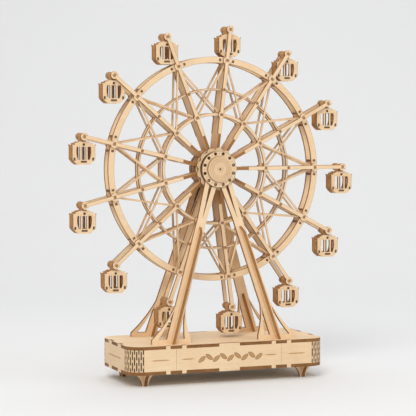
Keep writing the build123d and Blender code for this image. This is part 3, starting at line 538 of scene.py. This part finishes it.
# runs a finished Geometry Nodes tree once and keeps the mesh that it makes
def meshFromTree(name, tree, values):
    carrier = bpy.data.objects.new(name + "Carrier", bpy.data.meshes.new(name + "Carrier"))
    bpy.context.scene.collection.objects.link(carrier)
    modifier = carrier.modifiers.new("nodes", "NODES")
    modifier.node_group = tree
    for item in tree.interface.items_tree:
        if item.in_out == "INPUT" and item.name in values:
            modifier[item.identifier] = values[item.name]
    graph = bpy.context.evaluated_depsgraph_get()
    graph.update()
    mesh = bpy.data.meshes.new_from_object(carrier.evaluated_get(graph))
    carrier.modifiers.remove(modifier)
    bpy.data.objects.remove(carrier)
    mesh.name = name
    piece = bpy.data.objects.new(name, mesh)
    bpy.context.scene.collection.objects.link(piece)
    return piece


ornamentLook = {
    "leaves": 9,
    "pitch": 6.9 * mm,
    "length": 3.9 * mm,
    "height": 1.55 * mm,
    "lean": radians(38),
    # every second leaf stands this much above the row's middle, the others below it
    "rise": 0.9 * mm,
    "shift": 1 * mm,
    "outlineGrow": 0.32 * mm,
    "leafShade": (0.62, 0.38, 0.17),
    "leafDark": (0.42, 0.22, 0.08),
}


# one burnt leaf: a flat pointed outline bowed out on both sides
def leafOutline(name, grow):
    mesh = bpy.data.meshes.new(name)
    shape = bmesh.new()
    half, tall, steps = ornamentLook["length"] + grow, ornamentLook["height"] + grow, 14
    rim = []
    for turn in [pi * step / steps for step in range(2 * steps)]:
        rise = tall * sin(turn) * abs(sin(turn)) ** 0.35
        rim.append(shape.verts.new((half * cos(turn), 0, rise)))
    shape.faces.new(rim)
    bmesh.ops.recalc_face_normals(shape, faces=shape.faces)
    shape.to_mesh(mesh)
    shape.free()
    return bpy.data.objects.new(name, mesh)


def inkMaterial(name, shade, darker):
    material, tree, shader, coords = startMaterial(name, 0.7)
    smoke = noiseNode(tree, coords.outputs["Object"], noiseScale["ink"], 2.0, 0.6)
    link(tree, mixColour(tree, smoke, shade, darker), shader.inputs["Base Color"])
    return material


def leafRow(name, grow, lift, material):
    leaf = leafOutline(name + "Leaf", grow)
    tree, given, out = geometryTree(
        name + "Row",
        [
            ("Leaf", "NodeSocketObject", None),
            ("Count", "NodeSocketInt", 9),
            ("Pitch", "NodeSocketFloat", 0.007),
            ("Lean", "NodeSocketFloat", 0.6),
            ("Rise", "NodeSocketFloat", 0.0),
            ("Shade", "NodeSocketMaterial", None),
        ],
    )
    row = geoNode(tree, "MeshLine", Count=given.outputs["Count"])
    offset = tree.nodes.new("ShaderNodeCombineXYZ")
    link(tree, given.outputs["Pitch"], offset.inputs[0])
    link(tree, offset.outputs[0], row.inputs["Offset"])
    points = geoNode(tree, "MeshToPoints", Mesh=row.outputs[0])
    index = tree.nodes.new("GeometryNodeInputIndex")
    odd = mathNode(tree, "MODULO", index.outputs[0], 2.0)
    side = mathNode(tree, "MULTIPLY_ADD", odd, 2.0, -1.0)
    turn = tree.nodes.new("ShaderNodeCombineXYZ")
    link(tree, times(tree, side, given.outputs["Lean"]), turn.inputs[1])
    shift = tree.nodes.new("ShaderNodeCombineXYZ")
    link(tree, times(tree, side, given.outputs["Rise"]), shift.inputs[2])
    raised = geoNode(tree, "SetPosition", Geometry=points.outputs[0], Offset=shift.outputs[0])
    source = geoNode(tree, "ObjectInfo", Object=given.outputs["Leaf"])
    leaves = geoNode(
        tree, "InstanceOnPoints", Points=raised.outputs[0],
        Instance=source.outputs["Geometry"], Rotation=turn.outputs[0],
    )
    solid = geoNode(tree, "RealizeInstances", Geometry=leaves.outputs[0])
    shade = given.outputs["Shade"]
    shaded = geoNode(tree, "SetMaterial", Geometry=solid.outputs[0], Material=shade)
    link(tree, shaded.outputs[0], out.inputs[0])
    piece = meshFromTree(name, tree, {
        "Leaf": leaf, "Count": ornamentLook["leaves"], "Pitch": ornamentLook["pitch"],
        "Lean": ornamentLook["lean"], "Rise": ornamentLook["rise"], "Shade": material,
    })
    bpy.data.objects.remove(leaf)
    start = ornamentLook["shift"] - ornamentLook["pitch"] * (ornamentLook["leaves"] - 1) / 2
    piece.data.transform(Matrix.Translation((start, panelLow[1] - lift, baseLook["markHeight"])))
    return piece


outlineInk = inkMaterial("ornament_outlineInk", birchLook["burntEdge"], birchLook["darkEdge"])
leafInk = inkMaterial("ornament_leavesInk", ornamentLook["leafShade"], ornamentLook["leafDark"])
for name, grow, lift, ink in (
    ("ornament_outline", ornamentLook["outlineGrow"], 0.02 * mm, outlineInk),
    ("ornament_leaves", 0.0, 0.04 * mm, leafInk),
):
    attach(leafRow(name, grow, lift, ink), "frame")
print("stage: base")


flangeLook = {
    "holes": 12,
    "holeCircle": 14.4 * mm,
    "holeRadius": 1.2 * mm,
    "tickHalf": 0.2 * mm,
    "tickReach": 1.2 * mm,
    "tickCircle": 14 * mm,
    "edge": 16.7 * mm,
    "shadow": 11.5 * mm,
    "cover": 16.4 * mm,
}


# what shows through the flange's holes is painted black, as shade
def behindFlange(tree, coords, colour):
    shadedBehind = mathNode(tree, "LESS_THAN", wheelAt(tree, coords)["Radius"], flangeLook["cover"])
    return burn(tree, shadedBehind, 0.95, colour, "holeShadeBlack")


legLook = {"lean": radians(6.27), "splay": 17.5, "warmth": 0.62, "char": 0.34, "grain": 0.7}
frontLegAxis = (0, -cos(legLook["lean"]), sin(legLook["lean"]))
rearLegAxis = (0, cos(legLook["lean"]), sin(legLook["lean"]))
for name, axis, tilt in (
    ("front_left_leg", frontLegAxis, 1),
    ("front_right_leg", frontLegAxis, -1),
    ("rear_left_leg", rearLegAxis, 1),
    ("rear_right_leg", rearLegAxis, -1),
):
    grainTurn = (0, radians(90 - legLook["splay"] * tilt), 0)
    sheet = (legLook["warmth"], legLook["char"], legLook["grain"])
    assign(plywoodMaterial(name + "Wood", axis, grainTurn, *sheet, behindFlange), name)


# standing ribs: broad sides tan, the narrow outer edge burnt orange-brown
def legRibMaterial(name):
    material, tree, shader, coords = startMaterial(name)
    place = coords.outputs["Object"]
    face = birch(tree, mappingNode(tree, place, (1, 1, 1), (0, radians(90), 0)), 1.1, 0.7)
    edge = burnt(tree, place, separate(tree, place)[0], 0.2)
    facing = rampNode(tree, faceAcross(tree, coords, alongX), faceStops)
    colour = mixColour(tree, facing, edge.outputs["Color"], face.outputs["Color"])
    finishWood(tree, shader, colour, face.outputs["Height"], face.outputs["Roughness"], 0.3)
    return material


assign(legRibMaterial("legRibWood"), "front_leg_ribs", "rear_leg_ribs")
print("stage: leg materials")

capLook = {
    "rings": [radius * mm for radius in (10.7, 9.2, 7.7, 6.2, 4.7, 3.3)],
    "ringHalf": 0.16 * mm,
    "singe": 3.2 * mm,
}


# thin burnt rings and a singed centre
def capMarks(tree, coords, colour):
    radius = wheelAt(tree, coords)["Radius"]
    half = capLook["ringHalf"]
    lines = strongest(
        tree, [band(tree, radius, ring, half, 0.15 * mm) for ring in capLook["rings"]]
    )
    colour = burn(tree, lines, 0.7, colour, "coreEdge")
    singe = rampNode(tree, over(tree, radius, capLook["singe"]), [(0.25, 0.75), (0.8, 0.0)])
    return burn(tree, singe, 0.7, colour, "burntEdge")


# dark wedges between the flange's holes, and a scorched outer edge
def flangeMarks(tree, coords, colour):
    x, z = fromHub(tree, coords.outputs["Object"])
    radius = wheelAt(tree, coords)["Radius"]
    circle, step = flangeLook["holeCircle"], 2 * pi / flangeLook["holes"]
    turn = mathNode(tree, "FRACT", over(tree, mathNode(tree, "ARCTAN2", x, z), step))
    arc = step * flangeLook["tickCircle"]
    away = times(tree, turn, arc)
    ticks = strongest(
        tree, [band(tree, away, end, flangeLook["tickHalf"], 0.2 * mm) for end in (0.0, arc)]
    )
    ticks = times(tree, ticks, band(tree, radius, circle, flangeLook["tickReach"] / 2, 0.2 * mm))
    rim = band(tree, radius, flangeLook["edge"], 0.3 * mm, 0.3 * mm)
    shadow = band(tree, radius, flangeLook["shadow"], 0.3 * mm, 0.5 * mm)
    sideways = times(tree, minus(tree, turn, 0.5), step * circle)
    # each hole's dark ring is laser scorch and also painted shade, so the holes look deeper and
    # darker
    holes = halo(tree, radius, sideways, circle, flangeLook["holeRadius"])
    faint = [times(tree, ticks, 0.6), times(tree, rim, 0.6), times(tree, shadow, 0.5)]
    return burn(tree, strongest(tree, [*faint, holes]), 0.85, colour, "darkEdge")


for name, axis, warmth, char, marks, pieces in (
    ("capWood", alongY, 0.5, 0.3, capMarks, ("front_cap", "rear_cap")),
    ("flangeWood", alongY, 0.72, 0.5, flangeMarks, ("front_flange", "rear_flange")),
    ("hubDiscWood", alongY, 0.8, 0.3, behindFlange, ("front_hub_disc",)),
    ("hubPlateWood", alongY, 0.8, 0.5, behindFlange, ("front_hub_plate", "rear_hub_plate")),
    ("gearWood", alongY, 0.6, 0.5, None, ("drive_gear", "pinion")),
    ("crankPlateWood", alongY, 0.5, 0.4, None, ("crank_arm",)),
    ("bearingPlateWood", rearLegAxis, 0.55, 0.4, None, ("crank_bearing_plate",)),
):
    assign(plywoodMaterial(name, axis, warmth=warmth, char=char, marks=marks), *pieces)


def pinHalos(tree, at):
    radius = wheelLook["pinRadius"]
    places = (*wheelLook["rings"], wheelLook["pivot"])
    return strongest(tree, [halo(tree, at["Out"], at["Across"], place, radius) for place in places])


# rings are outlined in brown at both edges and around each pin
def ringMarks(tree, coords, colour):
    at = wheelAt(tree, coords)
    masks = [pinHalos(tree, at)]
    for radius, half in zip(wheelLook["rings"], wheelLook["ringHalves"]):
        for edge in (radius - half, radius + half):
            line = band(tree, at["Radius"], edge, 0.18 * mm, 0.2 * mm)
            masks.append(times(tree, line, 0.7))
    return burn(tree, strongest(tree, masks), 0.85, colour, "burntEdge")


# braces are browner in patches, where the smoke hung
def braceMarks(tree, coords, colour):
    smoke = noiseNode(tree, coords.outputs["Object"], noiseScale["braceSmoke"], 2.0, 0.5)
    patches = rampNode(tree, smoke, [(0.42, 0.0), (0.7, 0.5)])
    return mixColour(tree, patches, colour, birchLook["coreEdge"])


cabinJoints = [joint for joint in frame["joints"] if joint["child"].startswith("cabin_")]
pivotX, _, pivotZ = cabinJoints[0]["pos_m"]
wheelLook["pivot"] = Vector((pivotX, 0, pivotZ - hubHeight)).length
ringWood = plywoodMaterial("ringWood", alongY, warmth=0.62, char=0.4, grain=0.7, marks=ringMarks)
for side in ("front", "rear"):
    assign(ringWood, side + "_rim", side + "_inner_ring", side + "_middle_ring")
braceWood = plywoodMaterial("braceWood", alongY, warmth=0.7, char=0.36, grain=0.5, marks=braceMarks)
assign(braceWood, "front_braces", "rear_braces")


# plates that stand out from the hub like rays, with the grain along each one
def radialMaterial(name, warmth, char, facesAlongY, outline=0.0, hubBurn=0.0):
    material, tree, shader, coords = startMaterial(name)
    at = wheelAt(tree, coords)
    y = separate(tree, coords.outputs["Object"])[1]
    across, out = at["Across"], at["Out"]
    combine = tree.nodes.new("ShaderNodeCombineXYZ")
    link(tree, out, combine.inputs[0])
    link(tree, plus(tree, across, times(tree, at["Spoke"], 0.37)), combine.inputs[1])
    link(tree, y, combine.inputs[2])
    face = birch(tree, combine.outputs[0], warmth, 0.8)
    depth = y if facesAlongY else across
    edge = burnt(tree, combine.outputs[0], depth, char)
    colour = face.outputs["Color"]
    if outline:
        lines = band(tree, absolute(tree, across), outline, 0.12 * mm, 0.2 * mm)
        masks = mathNode(tree, "MAXIMUM", times(tree, lines, 0.7), pinHalos(tree, at))
        colour = burn(tree, masks, 0.85, colour, "burntEdge")
    if hubBurn:
        inward = minus(tree, wheelLook["burnReach"], out)
        inward = over(tree, inward, wheelLook["burnFade"], clamp=True)
        colour = burn(tree, inward, hubBurn, colour, "coreEdge")
    if facesAlongY:
        facing = faceAcross(tree, coords, alongY)
    else:
        normalX, _, normalZ = separate(tree, coords.outputs["Normal"])
        turned = times(tree, normalZ, at["Sine"])
        turned = minus(tree, times(tree, normalX, at["Cosine"]), turned)
        facing = absolute(tree, turned)
    facing = rampNode(tree, facing, faceStops)
    colour = mixColour(tree, facing, edge.outputs["Color"], colour)
    finishWood(tree, shader, colour, face.outputs["Height"], face.outputs["Roughness"], 0.3)
    return material


spokeWood = radialMaterial("spokeWood", 0.6, 0.36, True, outline=wheelLook["spokeOutline"])
assign(spokeWood, "front_spokes", "rear_spokes")
assign(radialMaterial("spokeRibWood", 1.1, 0.22, False, hubBurn=0.5), "spoke_ribs")
assign(radialMaterial("tieWood", 0.9, 0.6, False), "rim_ties")


# turned dowel with fine lengthwise streaks, darker where its end was cut
def dowelMaterial(name, dark):
    material, tree, shader, coords = startMaterial(name, 0.5)
    place = coords.outputs["Object"]
    face = birch(tree, mappingNode(tree, place, (1, 1, 1), quarterTurn), 0.9, 0.8)
    ends = rampNode(tree, faceAcross(tree, coords, alongY), [(0.6, 0.0), (0.9, dark)])
    colour = mixColour(tree, ends, face.outputs["Color"], birchLook["burntEdge"])
    finishWood(tree, shader, colour, face.outputs["Height"], face.outputs["Roughness"], 0.3)
    return material


# small round spacers on each hanger pin, outlined at their edge
def pinDiscMarks(tree, coords, colour):
    at = wheelAt(tree, coords)
    inside = halo(tree, at["Out"], at["Across"], wheelLook["pivot"], wheelLook["discEdge"])
    edge = minus(tree, 1.0, inside)
    masks = mathNode(tree, "MAXIMUM", edge, pinHalos(tree, at))
    return burn(tree, masks, 0.8, colour, "burntEdge")


assign(dowelMaterial("jointPinWood", 0.75), "joint_pins", "cabin_pins", "flange_pegs")
pinDiscWood = plywoodMaterial("pinDiscWood", alongY, warmth=0.8, char=0.5, marks=pinDiscMarks)
assign(pinDiscWood, "pin_discs")
shaftWood = dowelMaterial("shaftWood", 0.35)
assign(shaftWood, "axle", "crank_shaft", "crank_sleeve", "handle_pin", "crank_handle")
print("stage: wheel materials")

# places are measured from the cabin's pin, and tabs are a half width and a half height
cabinLook = {
    "inside": 4.9 * mm,
    "innerShade": 0.8,
    "floorTab": (2.75 * mm, 0.85 * mm),
    "floorTabHeight": -22.4 * mm,
    "sideTab": (0.85 * mm, 1.35 * mm),
    "sideTabPlace": (8.6 * mm, -20.1 * mm),
    "sideHalf": 10.6 * mm,
    "eyeHeight": -7.1 * mm,
    "eyeRadius": 0.8 * mm,
    "windowEdges": (1.9 * mm, 3.8 * mm),
    "windowMiddle": -14.8 * mm,
    "windowHalf": 5.6 * mm,
}


# front and rear panels look along Y; the plates between them are burnt where they come through
def cabinMaterial(name, pivot, warmth):
    material, tree, shader, coords = startMaterial(name)
    place = vectorMath(tree, "SUBTRACT", coords.outputs["Object"], pivot).outputs["Vector"]
    x, y, z = separate(tree, place)
    beside = absolute(tree, x)
    face = birch(tree, place, warmth, 0.7)
    edge = burnt(tree, place, y, 0.62)
    colour = face.outputs["Color"]
    floorPlace = (0.0, cabinLook["floorTabHeight"])
    floorTab = boxMask(tree, beside, z, floorPlace, cabinLook["floorTab"])
    sideTab = boxMask(tree, beside, z, cabinLook["sideTabPlace"], cabinLook["sideTab"])
    outline = band(tree, beside, cabinLook["sideHalf"], 0.15 * mm, 0.25 * mm)
    windows = strongest(
        tree, [band(tree, beside, edge, 0.22 * mm, 0.2 * mm) for edge in cabinLook["windowEdges"]]
    )
    tall = band(tree, z, cabinLook["windowMiddle"], cabinLook["windowHalf"], 0.2 * mm)
    windows = times(tree, windows, tall)
    eye = halo(tree, z, x, cabinLook["eyeHeight"], cabinLook["eyeRadius"])
    faint = [times(tree, outline, 0.7), times(tree, windows, 0.8)]
    masks = strongest(tree, [floorTab, sideTab, eye, *faint])
    colour = burn(tree, masks, 0.9, colour, "darkEdge")
    # the space between the front and rear panels gets painted shade
    shadedInside = band(tree, absolute(tree, y), 0.0, cabinLook["inside"] - 0.5 * mm, 0.4 * mm)
    facing = rampNode(tree, faceAcross(tree, coords, alongY), faceStops)
    facing = mathNode(tree, "MAXIMUM", facing, times(tree, shadedInside, 0.8))
    colour = mixColour(tree, facing, edge.outputs["Color"], colour)
    # the inside between the panels is painted darker, as shade
    colour = burn(tree, shadedInside, cabinLook["innerShade"], colour, "coreEdge")
    finishWood(tree, shader, colour, face.outputs["Height"], face.outputs["Roughness"], 0.3)
    return material


for joint in cabinJoints:
    name = joint["child"]
    # seven shades in a mixed order, so that neighbours differ
    warmth = 0.6 + 0.3 * ((int(name[-2:]) * 5) % 7) / 7
    assign(cabinMaterial(name + "Wood", tuple(joint["pos_m"]), warmth), name)
print("stage: cabin materials")

stageLook = {
    "floor": (0.795, 0.80, 0.805),
    "frontEdge": -5.0,
    "wallDistance": 1.3,
    "wallHeight": 4.0,
    "bendRadius": 0.6,
    "bendSteps": 16,
    "width": 8.0,
    "turn": radians(-21.1),
    "sky": (0.97, 0.97, 0.98),
    "skyStrength": 0.43,
}


def makeBackdrop():
    mesh = bpy.data.meshes.new("backdrop")
    shape = bmesh.new()
    distance, bend, steps = (stageLook[key] for key in ("wallDistance", "bendRadius", "bendSteps"))
    half = stageLook["width"] / 2
    profile = [(stageLook["frontEdge"], 0.0)]
    for turn in [pi / 2 * step / steps for step in range(steps + 1)]:
        profile.append((distance - bend + bend * sin(turn), bend - bend * cos(turn)))
    profile.append((distance, stageLook["wallHeight"]))
    rows = [[shape.verts.new((side * half, y, z)) for y, z in profile] for side in (-1, 1)]
    for first, second in zip(range(len(profile) - 1), range(1, len(profile))):
        shape.faces.new((rows[0][first], rows[1][first], rows[1][second], rows[0][second]))
    shape.to_mesh(mesh)
    shape.free()
    for polygon in mesh.polygons:
        polygon.use_smooth = True
    backdrop = bpy.data.objects.new("backdrop", mesh)
    bpy.context.scene.collection.objects.link(backdrop)
    mesh.transform(Matrix.Rotation(stageLook["turn"], 4, "Z"))
    material, tree, shader, _ = startMaterial("backdropPaper", 0.9)
    shader.inputs["Base Color"].default_value = (*stageLook["floor"], 1.0)
    shader.inputs["Specular IOR Level"].default_value = 0.1
    mesh.materials.append(material)


makeBackdrop()


def areaLight(name, place, target, size, power, colour=(1, 1, 1)):
    light = bpy.data.lights.new(name, "AREA")
    light.shape = "RECTANGLE"
    light.size, light.size_y = size
    light.energy = power
    light.color = colour
    lamp = bpy.data.objects.new(name, light)
    lamp.location = place
    lamp.rotation_euler = (Vector(target) - Vector(place)).to_track_quat("-Z", "Y").to_euler()
    bpy.context.scene.collection.objects.link(lamp)


areaLight("keyLight", (-0.9, -1.3, 1.5), (0, 0, 0.15), (0.9, 0.9), 21, (1.0, 0.975, 0.94))
areaLight("fillLight", (1.4, -1.2, 0.9), (0, 0, 0.15), (1.4, 1.4), 8, (0.96, 0.98, 1.0))
areaLight("topLight", (0.1, 0.3, 1.9), (0, 0, 0.1), (1.6, 1.6), 13.5)

world = bpy.data.worlds.new("studio")
world.use_nodes = True
sky = world.node_tree.nodes["Background"]
sky.inputs["Color"].default_value = (*stageLook["sky"], 1.0)
sky.inputs["Strength"].default_value = stageLook["skyStrength"]
bpy.context.scene.world = world
bpy.context.scene.view_settings.view_transform = "Standard"

cameraFit = {
    "place": (-0.5331, -1.3699, 0.2271),
    "yaw": 21.1,
    "pitch": -2.76,
    "focalPixels": 1594.8,
    "frame": 416,
    "sensorWidth": 36,
}
camera = bpy.data.cameras.new("camera")
camera.sensor_width = cameraFit["sensorWidth"]
camera.lens = camera.sensor_width * cameraFit["focalPixels"] / cameraFit["frame"]
cameraObject = bpy.data.objects.new("camera", camera)
cameraObject.location = cameraFit["place"]
cameraObject.rotation_euler = (radians(90 + cameraFit["pitch"]), 0, radians(-cameraFit["yaw"]))
bpy.context.scene.collection.objects.link(cameraObject)
bpy.context.scene.camera = cameraObject
print("stage: light and camera")
